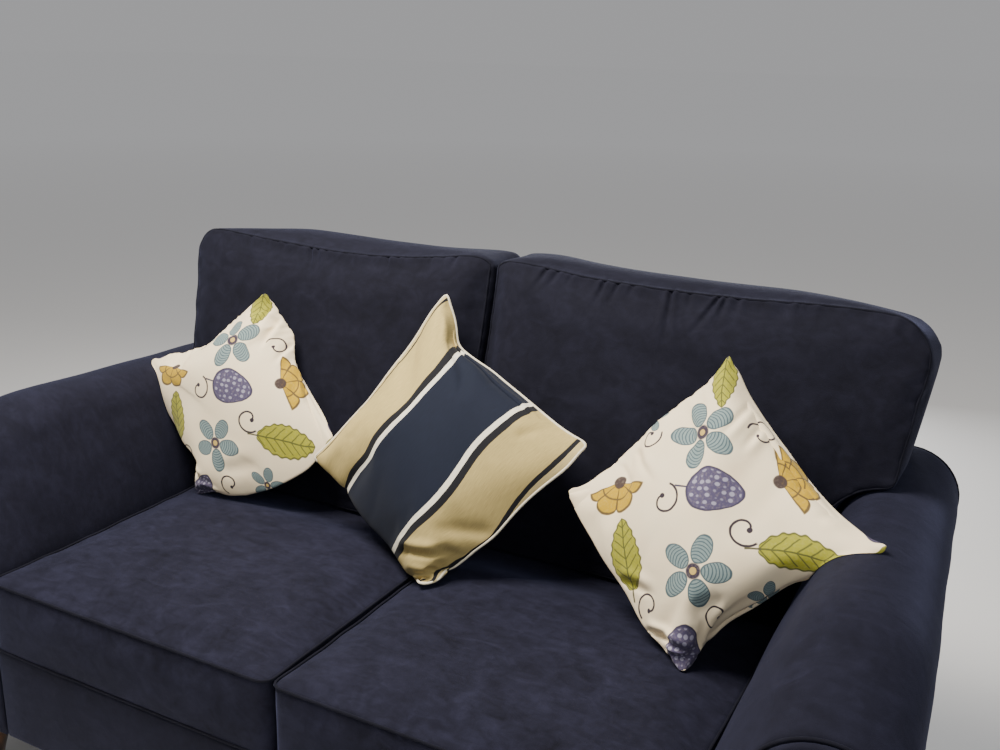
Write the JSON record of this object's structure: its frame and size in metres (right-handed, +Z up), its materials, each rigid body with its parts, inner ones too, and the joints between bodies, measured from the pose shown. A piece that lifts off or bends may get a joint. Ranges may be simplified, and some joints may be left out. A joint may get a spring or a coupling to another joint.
{
  "type": "two-seat sofa with scatter cushions",
  "caption": "Upholstered sofa with rolled scroll arms, loose box seat cushions, T-shaped back cushions that reach over the arms, turned wooden feet and scatter cushions on its seat.",
  "frame": {"origin": "on the floor, in the middle of the sofa's width and depth", "axes": "+X along the width, to the right as seen from in front; +Y from the front to the back; +Z up"},
  "size_m": [1.743, 0.888, 0.96],
  "materials": {
    "velour": "navy cut-pile velour",
    "lining": "black lining cloth",
    "wood": "dark stained, satin lacquer",
    "print": "cream cotton with a flower and leaf print",
    "stripe": "beige cotton with navy and white woven stripes"
  },
  "bodies": {
    "root": {"foot_front_left": "wood", "foot_front_right": "wood", "foot_back_left": "wood", "foot_back_right": "wood", "bottom_cloth": "lining", "front_rail": "velour", "back_rail": "velour", "seat_deck": "lining", "arm_left": "velour", "arm_right": "velour", "arm_facing_left": "velour", "arm_facing_right": "velour", "outside_arm_left": "velour", "outside_arm_right": "velour", "back_frame": "velour", "outside_back": "velour", "back_cushion_left": "velour", "back_cushion_right": "velour", "seat_cushion_left": "velour", "seat_cushion_right": "velour", "scatter_left": "print", "scatter_right": "print", "scatter_centre": "stripe"}
  },
  "joints": []
}
